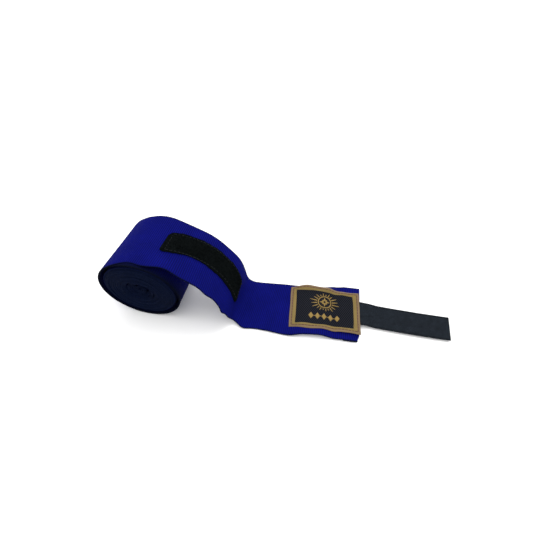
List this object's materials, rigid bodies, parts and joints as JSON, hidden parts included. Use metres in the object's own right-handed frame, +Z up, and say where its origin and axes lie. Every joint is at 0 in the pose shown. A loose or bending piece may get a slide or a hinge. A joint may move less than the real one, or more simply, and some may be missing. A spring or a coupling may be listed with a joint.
{
  "type": "hand wrap",
  "caption": "Elastic hand wrap for boxing, rolled up with its labelled end and hook strap laid out flat and its loop strip on the free run.",
  "frame": {"origin": "bottom centre of the bounding box, on the surface that the wrap lies on", "axes": "+X along the flat end towards the strap's free end, +Y across the band towards its far edge, +Z up"},
  "size_m": [0.2636, 0.0631, 0.0577],
  "materials": {
    "band_weave": "royal-blue ribbed elastic cotton webbing, matt",
    "loop_pile": "black brushed loop pile, matt",
    "dark_thread": "dark sewing thread",
    "label_weave": "dark slate woven label, fine twill",
    "gold_tape": "old-gold satin-stitched border",
    "gold_thread": "gold woven motif, slight sheen",
    "plum_thread": "plum sewing thread",
    "strap_tape": "slate-black woven nylon tape",
    "hook_nylon": "black moulded nylon hooks"
  },
  "bodies": {
    "roll": {"band_roll": "band_weave", "thumb_loop": "band_weave", "thumb_loop_stitching": "dark_thread"},
    "drape": {"band_drape": "band_weave", "loop_strip": "loop_pile", "loop_strip_stitching": "dark_thread"},
    "tail": {"band_tail": "band_weave", "label_border": "gold_tape", "label_panel": "label_weave", "label_stitching": "plum_thread", "label_emblem": "gold_thread", "label_bar": "gold_thread", "hook_strap_tab": "strap_tape"},
    "strap": {"hook_strap": "strap_tape", "strap_hooks": "hook_nylon"}
  },
  "joints": [
    {"name": "drape_lift", "type": "hinge", "parent": "roll", "child": "drape", "pos_m": [-0.09441, 0.00184, 0.05599], "axis": [-0.1324, -0.9889, 0.0681], "range_deg": [0, 55]},
    {"name": "tail_lift", "type": "hinge", "parent": "drape", "child": "tail", "pos_m": [-0.0253, -0.00671, 0.0008], "axis": [-0.1392, -0.9903, 0], "range_deg": [0, 60]},
    {"name": "strap_fold", "type": "hinge", "parent": "tail", "child": "strap", "pos_m": [0.06755, -0.0063, 0.003], "axis": [-0.1449, -0.9894, 0], "range_deg": [0, 150]}
  ]
}
